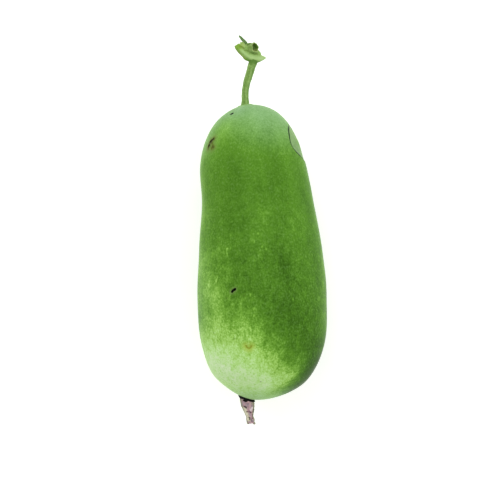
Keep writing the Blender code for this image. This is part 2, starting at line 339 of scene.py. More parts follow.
def skin_under(pixels):
    """The points of the skin that the camera sees at these pixels of the photograph."""
    columns, rows = np.array(pixels).T
    height = np.full(len(columns), FOCUS_HEIGHT)
    for _ in range(SIGHT_STEPS):
        scale = PIXEL_SIZE * (CAMERA_PLACE[2] - height) / CAMERA_DISTANCE
        x = CAMERA_PLACE[0] + (columns - PHOTO_PIXELS / 2) * scale
        y = CAMERA_PLACE[1] + (PHOTO_PIXELS / 2 - rows) * scale
        height = fruit_crown(x - ORIGIN[0], y - ORIGIN[1]) + ORIGIN[2]
    return np.stack([x, y, height], axis=1)


def top_points_under(points, pixels):
    """The highest of a piece's points where the camera sees these pixels, near the focus height."""
    found = []
    for column, row in pixels:
        x = CAMERA_PLACE[0] + (column - PHOTO_PIXELS / 2) * PIXEL_SIZE
        y = CAMERA_PLACE[1] + (PHOTO_PIXELS / 2 - row) * PIXEL_SIZE
        closest = points[np.argsort(np.hypot(points[:, 0] - x, points[:, 1] - y))[:NEAREST_POINTS]]
        found.append(closest[np.argmax(closest[:, 2])])
    return np.array(found)


def distance_to_path(points, path):
    """Each point's distance and offset from a path, and the path's direction at its nearest place."""
    nearest = np.full(len(points), np.inf)
    offsets = np.zeros((len(points), 3))
    directions = np.zeros((len(points), 3))
    for start, end in zip(path, path[1:]):
        span = end - start
        share = np.clip((points - start) @ span / (span @ span), 0, 1)
        offset = points - (start + share[:, None] * span)
        distance = np.linalg.norm(offset, axis=1)
        closer = distance < nearest
        nearest[closer] = distance[closer]
        offsets[closer] = offset[closer]
        directions[closer] = span / np.linalg.norm(span)
    return nearest, offsets, directions


def distance_on_skin(points, pixels):
    """Each point's distance from the path that the camera sees on the fruit at these pixels."""
    return distance_to_path(points, skin_under(pixels))[0]


def distance_on_top(points, pixels):
    """Each point's distance from the path that the camera sees on its own piece at these pixels."""
    return distance_to_path(points, top_points_under(points, pixels))[0]


def distance_to_strokes(points, strokes, distance):
    """Each point's distance from the nearest of the strokes, each thinned by its own measure."""
    return np.min([distance(points, pixels) + thinned for pixels, thinned in strokes], axis=0)


def distance_to_dots(points, dots):
    """Each point's distance from the nearest of the dots."""
    return np.min([np.linalg.norm(points - dot, axis=1) for dot in dots], axis=0)


def skin_over(rings):
    """A closed skin over rings of points, from the middle of the first ring to that of the last."""
    form = bmesh.new()
    loops = [[form.verts.new(point) for point in ring] for ring in rings]
    for lower, upper in zip(loops, loops[1:]):
        for index in range(len(lower)):
            after = (index + 1) % len(lower)
            form.faces.new((lower[index], lower[after], upper[after], upper[index]))
    for loop, ring in ((loops[0], rings[0]), (loops[-1], rings[-1])):
        middle = form.verts.new(np.mean(ring, axis=0))
        for index in range(len(loop)):
            form.faces.new((loop[index], loop[(index + 1) % len(loop)], middle))
    bmesh.ops.recalc_face_normals(form, faces=form.faces[:])
    return form


def mesh_object(name, form):
    """A smooth object from a bmesh."""
    mesh = bpy.data.meshes.new(name)
    form.to_mesh(mesh)
    form.free()
    mesh.shade_smooth()
    obj = bpy.data.objects.new(name, mesh)
    bpy.context.scene.collection.objects.link(obj)
    return obj


def read_points(obj):
    """The places of the object's points."""
    points = np.empty(len(obj.data.vertices) * 3)
    obj.data.vertices.foreach_get("co", points)
    return points.reshape(-1, 3)


def write_points(obj, points):
    """Moves the object's points."""
    obj.data.vertices.foreach_set("co", points.ravel())
    obj.data.update()


def read_normals(obj):
    """The directions in which the object's points face."""
    normals = np.empty(len(obj.data.vertices) * 3)
    obj.data.vertex_normals.foreach_get("vector", normals)
    return normals.reshape(-1, 3)


def keep_values(obj, values):
    """Keeps numbers, or vectors, for each point of the object, for its material to read."""
    for name, held in values.items():
        kind, field = ("FLOAT", "value") if held.ndim == 1 else ("FLOAT_VECTOR", "vector")
        attribute = obj.data.attributes.new(name, kind, "POINT")
        attribute.data.foreach_set(field, held.ravel())


def round_waves(angles, table):
    """The sum of waves round a ring, from the height, the number and the phase of each."""
    return sum(height * np.sin(number * angles + phase) for height, number, phase in table)


def waves(points, size, seed, count=7):
    """A soft unevenness between -1 and 1, with humps of about this size."""
    dice = np.random.default_rng(seed)
    total = np.zeros(len(points))
    for _ in range(count):
        heading = normalised(dice.normal(size=3)) * math.tau / size * dice.uniform(0.35, 1.0)
        total += np.sin(points @ heading + dice.uniform(0, math.tau))
    return total / count**0.5 / 1.5


def unevenness(points, table):
    """The sum of soft unevennesses, from the height, the size and the seed of each."""
    return sum(height * waves(points, size, seed) for height, size, seed in table)


# The fruit


# The scratch is drawn wider where the skin slopes: the least and the greatest upward slant that count.
SCRATCH_SLANT = (0.46, 1.0)
SCRATCH_SHIFT = 0.0003
SCRATCH_TAPER = 0.022
SCRATCH_TAPER_DEPTH = 0.0003
# Distances beyond the scratch over which the skin sinks and comes up again, and its colour comes and goes.
SUNKEN_REACH = ((-0.0004, 0.0012), (0.006, 0.024))
SUNKEN_DEPTH = 0.0009
BEYOND_REACH = ((0.0, 0.0008), (0.007, 0.016))
# The relief round each mark: its distance from the mark, its width, and its height.
MARK_RELIEF = (
    ("scratch", 0.0, 0.00045, -0.00030),
    ("collar", 0.0052, 0.0013, 0.0007),
    ("slit", 0.0020, 0.0009, 0.00028),
    ("slit", 0.0, 0.0008, -0.0011),
    ("scar", 0.0, 0.0026, 0.00030),
    ("scar", 0.0, 0.0009, -0.0006),
    ("speck", 0.0, 0.0007, -0.00040),
    ("spot", 0.0, 0.0030, -0.00035),
    ("spot", 0.0, 0.0005, -0.0003),
)
# Unevenness all over the skin: height, size and seed.
SKIN_WAVES = ((0.00022, 0.045, 1), (0.00008, 0.012, 2))
# Where the fruit is a little fuller, or slimmer, than its outline's stations make it.
FULLER_ZONES = (
    ((0.0350, 0.0135, 0.045), (1.0, 1.0, 0.5), 0.015, 0.0019),
    ((-0.0515, 0.0370, 0.045), (1.0, 1.0, 0.5), 0.014, -0.0010),
)
BAND_COUNT = 9
BAND_START = math.radians(92)
BAND_HEIGHT = 0.00012

# Zones of the skin: middle, how much distances count along X, Y and Z, and the reach of its edge.
PALE_ZONE = ((-0.028, 0.012, 0.060), (1.0, 1.2, 0.5), (0.026, 0.090))
DARK_HEEL_ZONE = ((0.042, 0.004, 0.045), (1.2, 1.0, 0.6), (0.012, 0.048))
RIM_SHADE_ZONE = ((0.054, 0.020, 0.040), (1.3, 0.8, 0.5), (0.006, 0.034))
RIM_SHADE_STEEPNESS = (0.40, 0.85)
# Wax bloom with painted sheen: at the stalk end, and on the left side.
BLOOM_AND_SHEEN_ZONE = ((0.010, 0.262, 0.060), (0.8, 1.0, 0.5), (0.004, 0.054))
SIDE_BLOOM_AND_SHEEN_ZONE = ((-0.062, 0.075, 0.045), (1.0, 0.4, 0.4), (0.006, 0.034))

# The skin's tone, from 0, dark green, to 1, pale green: its usual one, and how much each place adds.
PLAIN_TONE = 0.30
PALE_TONE = 0.74
DARK_HEEL_TONE = -0.75
# Painted shade: the skin is darker at the blossom end's tip, which turns away from the light.
TIP_PAINTED_SHADE = -0.20
TIP_REACH = (0.000, 0.016)
STALK_END_TONE = 0.23
STALK_END_REACH = (0.190, 0.258)
# Painted sheen: the steep flanks of the fruit's upper part are made paler.
UPPER_FLANK_PAINTED_SHEEN = 0.12
UPPER_FLANK_SHEEN_REACH = (0.060, 0.120)
LEFT_FLANK_TONE = 0.12
LEFT_FLANK_REACH = (0.034, 0.056)

# How much wax bloom with painted sheen the skin has at the blossom end's tip, on its side and at its
# shoulder, and how waxy it is beyond the scratch.
TIP_BLOOM_AND_SHEEN = 0.8
SIDE_BLOOM_AND_SHEEN = 0.22
SHOULDER_BLOOM_AND_SHEEN = 0.6
SHOULDER_BLOOM_AND_SHEEN_WIDTH = 0.013
BEYOND_BLOOM = 0.75

# How strongly the skin is mottled at its two ends, and the flecked strips.
SMOOTH_END_REACH = (0.080, 0.225)
MOTTLED_SHARES = (1.3, 0.7)
FLECKED_WIDTH = 0.009


def scratch_path():
    """The scratch's course over the skin."""
    return smooth_path(skin_under(SCRATCH_PIXELS), 4)


def scratch_offset(points, normals):
    """Each point's distance from the long scratch, positive on the side towards the fruit's flank."""
    nearest, offsets, directions = distance_to_path(points, scratch_path())
    outward = np.einsum("ij,ij->i", np.cross(normals, directions), offsets)
    return np.where(outward > 0, nearest, -nearest)


def drawn_scratch(points, normals, scratch):
    """Distance from the scratch as it is drawn: wide where the skin slopes, tapered at its upper end."""
    taper = smooth_share(distance_to_dots(points, skin_under(SCRATCH_PIXELS)[:1]), 0, SCRATCH_TAPER)
    slant = np.clip(normals[:, 2], *SCRATCH_SLANT)
    return np.abs(scratch + SCRATCH_SHIFT) * slant + SCRATCH_TAPER_DEPTH * (1 - taper)


def blemish_distances(points):
    """Distance of each point from each of the small blemishes."""
    lines = {"slit": SLIT_PIXELS, "speck": SPECK_PIXELS, "spot": SUNKEN_SPOT_PIXELS}
    marks = {name: distance_on_skin(points, pixels) for name, pixels in lines.items()}
    marks["scar"] = distance_to_strokes(points, SCAR_STROKES, distance_on_skin)
    marks["faint"] = distance_to_dots(points, skin_under(FAINT_SPECK_PIXELS))
    stalk = np.array(STALK_STATIONS)[:5, :3] + STEM_ORIGIN
    marks["collar"] = distance_to_path(points, stalk)[0]
    return marks


def ball_net():
    """A ball of radius 1 as a net of rings, with its poles on Z."""
    polar = np.linspace(0, math.pi, SKIN_RINGS + 1)[1:-1]
    around = np.arange(SKIN_SIDES) * math.tau / SKIN_SIDES
    circle = np.stack([np.cos(around), -np.sin(around)], axis=1)
    rings = [np.column_stack([math.sin(p) * circle, np.full(SKIN_SIDES, math.cos(p))]) for p in polar]
    points = np.vstack([*rings, (0, 0, 1), (0, 0, -1)])
    here = np.arange(SKIN_SIDES)
    after = np.roll(here, -1)
    faces = []
    for start in range(0, SKIN_SIDES * (SKIN_RINGS - 2), SKIN_SIDES):
        below = start + SKIN_SIDES
        faces += np.stack([start + here, start + after, below + after, below + here], axis=1).tolist()
    top, bottom, last = len(points) - 2, len(points) - 1, SKIN_SIDES * (SKIN_RINGS - 2)
    faces += [(top, b, a) for a, b in zip(here.tolist(), after.tolist())]
    faces += [(bottom, last + a, last + b) for a, b in zip(here.tolist(), after.tolist())]
    mesh = bpy.data.meshes.new("ball_net")
    mesh.from_pydata(points.tolist(), [], faces)
    form = bmesh.new()
    form.from_mesh(mesh)
    bpy.data.meshes.remove(mesh)
    bmesh.ops.recalc_face_normals(form, faces=form.faces[:])
    return form


def ball_place(points):
    """The polar angle and the angle around of points on a unit ball."""
    return np.arccos(np.clip(points[:, 2], -1, 1)), np.arctan2(-points[:, 1], points[:, 0])


def fruit_points(ball):
    """The points of the fruit's plain skin, in the frame, for points of a unit ball."""
    polar, around = ball_place(ball)
    middle, half_width = fruit_section(polar)
    y = fruit_y(polar)
    x = middle + half_width * np.cos(around)
    z = fruit_axis_height(y) + FRUIT_DEPTH_RATIO * half_width * np.sin(around)
    return np.stack([x, y, z], axis=1) + ORIGIN


def refine_near_marks(form):
    """Makes the ball's net finer where the skin has its blemishes."""
    for reach in SKIN_REFINEMENTS:
        form.verts.index_update()
        points = fruit_points(np.array([vertex.co for vertex in form.verts]))
        marks = [distance - MARK_MARGIN for distance in blemish_distances(points).values()]
        close = np.minimum.reduce([distance_to_path(points, scratch_path())[0], *marks]) < reach
        edges = [edge for edge in form.edges if all(close[vertex.index] for vertex in edge.verts)]
        bmesh.ops.subdivide_edges(form, edges=edges, cuts=1, use_grid_fill=True)
        for vertex in form.verts:
            vertex.co.normalize()


def skin_bands(polar, around):
    """The soft long bands of the skin, from -1 to 1, which fade out towards the fruit's ends."""
    return np.sin(polar) * np.cos(BAND_COUNT * (around - BAND_START))


def skin_relief(points, polar, around, scratch, marks):
    """How far each point of the skin stands out from the plain shape."""
    relief = unevenness(points, SKIN_WAVES)
    relief += BAND_HEIGHT * np.sin(polar) * skin_bands(polar, around)
    for middle, counts, width, extra in FULLER_ZONES:
        relief += extra * bell(zone_distance(points - ORIGIN, middle, counts), width)

    upper_end, lower_end = skin_under(SCRATCH_PIXELS)[[0, -1], 1]
    fading = smooth_share(points[:, 1], upper_end, lower_end)
    relief -= SUNKEN_DEPTH * between(scratch, *SUNKEN_REACH) * fading
    distances = marks | {"scratch": scratch}
    for name, away, width, height in MARK_RELIEF:
        relief += height * bell(distances[name] - away, width)
    return relief


def skin_tone(points, normals):
    """How pale each point of the skin is: most of all round the blossom end's left, least on its right,
    with painted sheen on the steep upper flanks and painted shade at the tip.
    """
    place = points - ORIGIN
    steep = 1 - np.abs(normals[:, 2])
    tone = PLAIN_TONE + PALE_TONE * inside_zone(place, *PALE_ZONE)
    tone += STALK_END_TONE * smooth_share(place[:, 1], *STALK_END_REACH)
    # Painted sheen: paler on the steep flanks of the fruit's upper part.
    tone += UPPER_FLANK_PAINTED_SHEEN * steep * smooth_share(place[:, 1], *UPPER_FLANK_SHEEN_REACH)
    # Painted shade at the blossom end's tip.
    tone += TIP_PAINTED_SHADE * (1 - smooth_share(place[:, 1], *TIP_REACH))
    tone += LEFT_FLANK_TONE * smooth_share(-place[:, 0], *LEFT_FLANK_REACH)
    tone += DARK_HEEL_TONE * inside_zone(place, *DARK_HEEL_ZONE)
    for pixels, extra, width in TONE_STROKES:
        tone += extra * bell(distance_on_skin(points, pixels), width)
    return tone


def zone_distance(place, middle, counts):
    """Each place's distance from the middle of a zone, which counts more along some axes."""
    return np.linalg.norm((place - middle) * counts, axis=1)


def inside_zone(place, middle, counts, reach):
    """1 well inside a zone, 0 outside of its reach."""
    return 1 - smooth_share(zone_distance(place, middle, counts), *reach)


def skin_bloom_and_sheen(points, scratch):
    """How waxy and bluish each point of the skin is: wax bloom with painted sheen at the shoulders, side
    and tip, and wax alone beyond the scratch.
    """
    place = points - ORIGIN
    at_tip = 1 - smooth_share(place[:, 1], *TIP_REACH)
    bloom_and_sheen = inside_zone(place, *BLOOM_AND_SHEEN_ZONE)
    bloom_and_sheen += TIP_BLOOM_AND_SHEEN * at_tip * (1 - inside_zone(place, *DARK_HEEL_ZONE))
    bloom_and_sheen += SIDE_BLOOM_AND_SHEEN * inside_zone(place, *SIDE_BLOOM_AND_SHEEN_ZONE)
    bloom_and_sheen += SHOULDER_BLOOM_AND_SHEEN * bell(distance_on_skin(points, SHOULDER_BLOOM_AND_SHEEN_PIXELS), SHOULDER_BLOOM_AND_SHEEN_WIDTH)
    return np.maximum(bloom_and_sheen, BEYOND_BLOOM * between(scratch, *BEYOND_REACH))


def rim_shade(points, normals):
    """How deeply each point of the skin is shaded: on the steep rim at the lower right."""
    steep = smooth_share(1 - np.abs(normals[:, 2]), *RIM_SHADE_STEEPNESS)
    return steep * inside_zone(points - ORIGIN, *RIM_SHADE_ZONE)


def mottled_share(points):
    """How strongly each point of the skin is mottled."""
    first, last = MOTTLED_SHARES
    return first + (last - first) * smooth_share(points[:, 1] - ORIGIN[1], *SMOOTH_END_REACH)


def flecked_share(points):
    """How close each point of the skin lies to one of the flecked strips."""
    strips = [bell(distance_on_skin(points, pixels), FLECKED_WIDTH) for pixels in FLECKED_PIXELS]
    return np.max(strips, axis=0)


def make_fruit():
    """The fruit's skin, with its unevenness and blemishes."""
    form = ball_net()
    refine_near_marks(form)
    ball = np.array([vertex.co for vertex in form.verts])
    polar, around = ball_place(ball)
    fruit = mesh_object("gourd_fruit_skin", form)
    write_points(fruit, fruit_points(ball))
    points, normals = read_points(fruit), read_normals(fruit)
    scratch, marks = scratch_offset(points, normals), blemish_distances(points)
    points += normals * skin_relief(points, polar, around, scratch, marks)[:, None]
    points[:, 2] = np.maximum(points[:, 2], 0)
    write_points(fruit, points)
    values = {
        "ball": ball,
        "tone": skin_tone(points, normals),
        "bands": skin_bands(polar, around),
        "scratch": drawn_scratch(points, normals, scratch),
        "beyond": between(scratch, *BEYOND_REACH),
        "bloom_and_sheen": skin_bloom_and_sheen(points, scratch),
        "shade": rim_shade(points, normals),
        "mottled": mottled_share(points),
        "flecked": flecked_share(points),
    }
    keep_values(fruit, values | marks)
    return fruit


# The stems


# A cut end's rings: share of the stem's radius, and how far each stands out.
CUT_END = (
    (0.98, 0.00010),
    (0.90, 0.00022),
    (0.78, 0.00020),
    (0.60, 0.00006),
    (0.35, -0.00008),
    (0.12, -0.00012),
)
STEM_RIBS = 5
STALK_RIB_DEPTH = 0.06
VINE_RIB_DEPTH = 0.10
TENDRIL_RIBS = 4
TENDRIL_SIDES = 36

# The hollow of the leaf stalk: its floor's rings as share and extra depth, and the waves of its rim.
LEAF_STALK_WALL = 0.0010
LEAF_STALK_HOLLOW_DEPTH = 0.0034
LEAF_STALK_FLOOR_DIP = 0.0016
LEAF_STALK_FLOOR = ((0.92, 0.0004), (0.7, 0.0008), (0.4, 0.0011), (0.15, 0.0012))
LEAF_STALK_RIM_REACH = 0.0015
LEAF_STALK_RIM_LOSS = 0.0003
RAGGED_RIM = ((0.00035, 3, 1), (0.0002, 8, 0), (0.0001, 17, 0))
OUTSIDE_RINGS = 50
LIP_RINGS = 7
INSIDE_RINGS = 20
# How far inside a place counts as, for its colour: on the lip, and from the top to the end of the wall.
LIP_DEPTH = 0.1
WALL_DEPTHS = (0.2, 0.9)


def stem_path(stations):
    """Points along a stem, its radii, its direction, and the two directions across it."""
    path = smooth_path(stations, STEM_STEPS)
    points, radii = path[:, :3] + STEM_ORIGIN, path[:, 3]
    forward = normalised(np.gradient(points, axis=0))
    across = np.cross(forward[0], (0, 0, 1))
    sideways = []
    for direction in forward:
        across = normalised(across - direction * (across @ direction))
        sideways.append(across)
    sideways = np.array(sideways)
    return points, radii, forward, sideways, np.cross(sideways, forward)


def path_lengths(points):
    """The distance along a path of each of its points."""
    steps = np.linalg.norm(np.diff(points, axis=0), axis=1)
    return np.concatenate([[0], np.cumsum(steps)])


def full_circle(sides):
    """The angles of the points of a ring."""
    return np.linspace(0, math.tau, sides, endpoint=False)


def ring_round(path, index, angles, radius, push):
    """Points round a place on a stem's path, pushed along the stem."""
    points, _, forward, across, rise = path
    turn = np.cos(angles)[:, None] * across[index] + np.sin(angles)[:, None] * rise[index]
    return points[index] + np.reshape(push, (-1, 1)) * forward[index] + radius[:, None] * turn


def stem_outline(angles, along, ribs, depth, seed):
    """A stem's radius around, as a share of its station's radius: soft ribs that wander a little."""
    wander = 0.25 * np.sin(along * 260 + seed)
    wobbles = ((0.018, 3, along * 900 + seed), (0.012, 7, -along * 1500))
    return 1 + depth * (np.cos(ribs * (angles + wander)) - 1) + round_waves(angles, wobbles)


def stem_rings(stations, ribs, depth, seed, sides=STEM_SIDES):
    """Rings of points round a stem, with its two cut ends."""
    path = stem_path(stations)
    angles = full_circle(sides)
    radii = path[1]
    outlines = [stem_outline(angles, along, ribs, depth, seed) for along in path_lengths(path[0])]

    def ring(index, share, push):
        return ring_round(path, index, angles, radii[index] * share * outlines[index], push)

    first = [ring(0, share, -push) for share, push in reversed(CUT_END)]
    last = [ring(len(radii) - 1, share, push) for share, push in CUT_END]
    return [*first, *(ring(index, 1, 0) for index in range(len(radii))), *last]


def make_stalk():
    """The fruit's ribbed stalk, which widens into a collar where it enters the fruit."""
    rings = stem_rings(STALK_STATIONS, STEM_RIBS, STALK_RIB_DEPTH, seed=1)
    stalk = mesh_object("fruit_stalk_stem", skin_over(rings))
    ribs = np.tile(np.cos(STEM_RIBS * full_circle(STEM_SIDES)), len(rings))
    # How far below its top each point lies, for the painted shadow of the vine.
    top = ORIGIN[1] + STALK_STATIONS[-1][1] - read_points(stalk)[:, 1]
    keep_values(stalk, {"ribs": np.append(ribs, (0, 0)), "top": top})
    return stalk


def ellipsoid(middle_station, half_sizes, turn):
    """An ellipsoid beside the stems."""
    middle = Vector(STEM_ORIGIN + middle_station)
    matrix = Matrix.Translation(middle) @ Matrix.Rotation(turn, 4, "Z") @ Matrix.Diagonal((*half_sizes, 1))
    form = bmesh.new()
    bmesh.ops.create_uvsphere(form, u_segments=48, v_segments=32, radius=1, matrix=matrix)
    return form


def fused(name, forms):
    """One grown piece from several closed forms, with soft joins between them."""
    whole = bmesh.new()
    for form in forms:
        mesh = bpy.data.meshes.new(name)
        form.to_mesh(mesh)
        form.free()
        whole.from_mesh(mesh)
        bpy.data.meshes.remove(mesh)
    rough = mesh_object(name + "_rough", whole)
    remesh = rough.modifiers.new("fuse", "REMESH")
    remesh.mode = "VOXEL"
    remesh.voxel_size = FUSED_VOXEL
    smooth = rough.modifiers.new("soften", "SMOOTH")
    smooth.iterations = FUSED_SMOOTHING
    graph = bpy.context.evaluated_depsgraph_get()
    form = bmesh.new()
    form.from_mesh(rough.evaluated_get(graph).to_mesh())
    bpy.data.objects.remove(rough)
    return mesh_object(name, form)


# What the camera sees on the vine, in pixels.
VINE_MARKS = {
    "cut": ((236.4, 46.8), (239.4, 44.6)),
    "tip": ((265.2, 58.2), (263.0, 58.0)),
    "brown_edge": ((236.6, 51.0), (239.6, 55.0), (243.4, 58.2)),
    # Painted shade along the lower edge, a painted highlight along the front, and painted shade in the
    # nook by the tendril.
    "shaded_lower_edge": ((245.6, 60.0), (251.0, 61.6), (257.4, 61.8)),
    "painted_highlight_band": ((243.4, 51.6), (248.4, 55.6), (254.4, 57.4), (260.4, 57.8)),
    "shaded_nook": ((247.4, 44.4), (249.6, 43.6)),
    "bud_top": ((240.6, 43.6), (244.6, 45.6)),
    "bud_crease": ((240.2, 45.9), (242.4, 47.2), (244.2, 48.6)),
    "lump_crease": ((244.9, 50.2), (248.6, 51.7), (252.1, 53.0), (255.6, 53.9), (257.4, 54.2)),
    "lump_folds": ((248.4, 46.0), (249.2, 50.6)),
}
# Unevenness of the vine: height, size and seed. Relief at its marks: width and height.
VINE_WAVES = ((0.00010, 0.0030, 3), (0.00004, 0.0010, 4))
VINE_MARK_RELIEF = (
    ("shaded_lower_edge", 0.0032, 0.0009),
    ("lump_crease", 0.0007, -0.00030),
    ("bud_crease", 0.0005, -0.00025),
)


def clear_hollow(points):
    """Sinks the swelling under the floor of the leaf stalk's hollow."""
    path, radii, forward, _, _ = stem_path(LEAF_STALK_STATIONS)
    axis = forward[-1]
    height = (points - path[-1]) @ axis
    off_axis = np.linalg.norm(points - path[-1] - height[:, None] * axis, axis=1)
    floor = -LEAF_STALK_HOLLOW_DEPTH - LEAF_STALK_FLOOR_DIP
    excess = np.where(off_axis < radii[-1] - LEAF_STALK_WALL / 2, np.maximum(height - floor, 0), 0)
    return points - excess[:, None] * axis


def make_vine():
    """The stub of vine, with the swelling of its node and the scales of its side bud."""
    forms = [skin_over(stem_rings(VINE_STATIONS, STEM_RIBS, VINE_RIB_DEPTH, seed=2))]
    forms += [ellipsoid(*lump) for lump in (NODE_SWELLING, SWELLING_HEEL, *SIDE_BUD_SCALES)]
    vine = fused("vine_stub_stem", forms)
    points, normals = read_points(vine), read_normals(vine)
    marks = {name: distance_on_top(points, pixels) for name, pixels in VINE_MARKS.items()}
    relief = unevenness(points, VINE_WAVES)
    for name, width, height in VINE_MARK_RELIEF:
        relief += height * bell(marks[name], width)
    write_points(vine, clear_hollow(points + normals * relief[:, None]))
    keep_values(vine, marks)
    return vine


# What the camera sees inside the leaf stalk's hollow, in pixels.
HOLLOW_MARKS = {
    # Painted shade on the hollow's far wall.
    "dark": ((253.8, 47.8), (255.4, 46.2), (257.4, 46.8)),
    "browned": ((255.6, 50.2), (258.0, 50.0)),
}


def leaf_stalk_ring(path, angles, distance, inset, share):
    """Points round the leaf stalk at a distance along it, this far inside of its skin."""
    along = path_lengths(path[0])
    index = min(np.searchsorted(along, distance), len(along) - 1)
    near_rim = smooth_share(distance, along[-1] - LEAF_STALK_RIM_REACH, along[-1])
    outline = stem_outline(angles, distance, STEM_RIBS, STALK_RIB_DEPTH, seed=5)
    push = round_waves(angles, RAGGED_RIM) * near_rim + distance - along[index]
    push -= LEAF_STALK_RIM_LOSS * near_rim
    return ring_round(path, index, angles, (path[1][index] - inset) * share * outline, push)


def leaf_stalk_course(rim):
    """Distance along, inset, share of the radius, and how far inside, of each of its rings."""
    wall, bottom = LEAF_STALK_WALL, rim - LEAF_STALK_HOLLOW_DEPTH
    outside = [(distance, 0, 1, 0) for distance in np.linspace(0, rim, OUTSIDE_RINGS)]
    lip = [
        (rim + wall / 4 * math.sin(turn), wall / 2 * (1 - math.cos(turn)), 1, LIP_DEPTH)
        for turn in np.linspace(0, math.pi, LIP_RINGS)[1:-1]
    ]
    inside = zip(np.linspace(rim, bottom, INSIDE_RINGS), np.linspace(*WALL_DEPTHS, INSIDE_RINGS))
    inside = [(distance, wall, 1, depth) for distance, depth in inside]
    floor = [(bottom - extra, wall, share, 1) for share, extra in LEAF_STALK_FLOOR]
    return outside + lip + inside + floor


def make_leaf_stalk():
    """The hollow stub of the leaf stalk, with a ragged rim."""
    path = stem_path(LEAF_STALK_STATIONS)
    angles = full_circle(STEM_SIDES)
    course = leaf_stalk_course(path_lengths(path[0])[-1])
    rings = [leaf_stalk_ring(path, angles, *place) for *place, _ in course]
    leaf_stalk = mesh_object("leaf_stalk_stub_stem", skin_over(rings))
    points = read_points(leaf_stalk)
    values = {name: distance_on_top(points, pixels) for name, pixels in HOLLOW_MARKS.items()}
    values["inside"] = np.append(np.repeat([depth for *_, depth in course], STEM_SIDES), (0, 1))
    values["ribs"] = np.append(np.tile(np.cos(STEM_RIBS * angles), len(rings)), (0, 0))
    keep_values(leaf_stalk, values)
    return leaf_stalk


def make_tendril():
    """The wilted stub of the tendril."""
    rings = stem_rings(TENDRIL_STATIONS, TENDRIL_RIBS, VINE_RIB_DEPTH, 7, TENDRIL_SIDES)
    return mesh_object("tendril_stub_stem", skin_over(rings))


# The flower


# Where the camera sees the flower's marks, in pixels.
FLOWER_MARKS = {
    "hole": ((243.6, 399.8), (245.8, 400.4)),
    "crease": ((246.4, 411.5), (248.0, 411.3), (249.6, 410.5), (251.2, 412.4)),
    # A painted highlight streak.
    "painted_highlight_streak": ((252.5, 407.4), (250.4, 411.0)),
    "cream": ((244.6, 408.4), (246.0, 412.4), (247.4, 416.0), (248.8, 419.4)),
}
# Each dark stroke on the flower, and how much it is thinned.
FLOWER_DARK_STROKES = (
    (((244.1, 405.7), (245.6, 406.9)), -0.0002),
    (((249.3, 417.0), (249.7, 418.5)), 0.0),
    (((251.2, 420.2), (252.0, 420.8)), 0.0004),
    (((254.2, 408.8), (253.6, 411.2)), 0.0),
    (((247.0, 403.5), (248.2, 403.1)), 0.0007),
    (((251.5, 404.8), (252.1, 406.2)), 0.0006),
    (((252.8, 414.0), (253.0, 417.6)), 0.0003),
)
# The flower's long creases: where each starts round it, how it drifts, its width and its depth.
FLOWER_CREASES = (
    (1.35, 34, 0.13, 0.12),
    (2.05, -50, 0.10, 0.10),
    (0.75, 20, 0.12, 0.08),
    (2.75, 30, 0.14, 0.10),
    (4.4, 60, 0.15, 0.18),
    (5.3, -40, 0.14, 0.16),
)
# Its ribs: depth, how many round it, how they drift along it, and their phase.
PETAL_RIBS = ((0.03, 5, 55, 0), (0.02, 9, -130, 1.3))
FOLDED_REACH = (0.0010, 0.0060)
MOUTH_TEETH = ((1.0, 2, 1), (0.7, 5, 0), (0.5, 11, 2))
MOUTH_REACH = (0.0180, 0.0222)
MOUTH_RAGGEDNESS = 0.0004
LEAST_RADIUS = 0.00005
# The crumpling of the petals, which starts beyond the foot. Crumples: share, size and seed.
CRUMPLED_HEIGHT = 0.0010
CRUMPLED_BASE = 0.0002
CRUMPLED_REACH = (0.0014, 0.0050)
CRUMPLES = ((1.0, 0.0054, 11), (0.3, 0.0028, 21))
FLAT_CREASE = 0.15
PETAL_WAVES = ((0.00010, 0.0016, 31),)


def flower_folds(around, along):
    """How far the withered petals fold in, as a share of the flower's radius."""
    folds = 0
    for depth, number, drift, phase in PETAL_RIBS:
        folds += depth * (np.cos(number * around + drift * along + phase) - 1)
    for start, drift, width, depth in FLOWER_CREASES:
        apart = np.mod(around - start - drift * along + math.pi, math.tau) - math.pi
        folds -= depth * bell(apart, width)
    return folds * smooth_share(along, *FOLDED_REACH)


def flower_ring(along, radius, around):
    """Points round the withered flower, whose foot lies in the slope of the fruit's skin."""
    radius = radius * (1 + flower_folds(around, along))
    across = radius * np.cos(around)
    slope = FLOWER_FOOT_SLOPE * (1 - smooth_share(along, 0, FLOWER_FOOT_REACH))
    lean_x, lean_z = (along * (lean + bend * along) for lean, bend in zip(FLOWER_LEAN, FLOWER_BEND))
    foot_x, foot_y = FLOWER_FOOT
    ragged = smooth_share(along, *MOUTH_REACH) * MOUTH_RAGGEDNESS * round_waves(around, MOUTH_TEETH)
    x = foot_x + lean_x + across
    y = foot_y - along - slope * across - ragged
    z = fruit_axis_height(foot_y) + lean_z + radius * np.sin(around) * FLOWER_FLATNESS
    return np.stack([x, y, z], axis=1) + ORIGIN


def crumple(points, size, seed):
    """Flat facets with sharp creases between them: 0 in a crease, up to about 1 on a facet."""
    first, second = (np.abs(waves(points, size, which)) for which in (seed, seed + 1))
    return np.minimum(first, second + FLAT_CREASE)


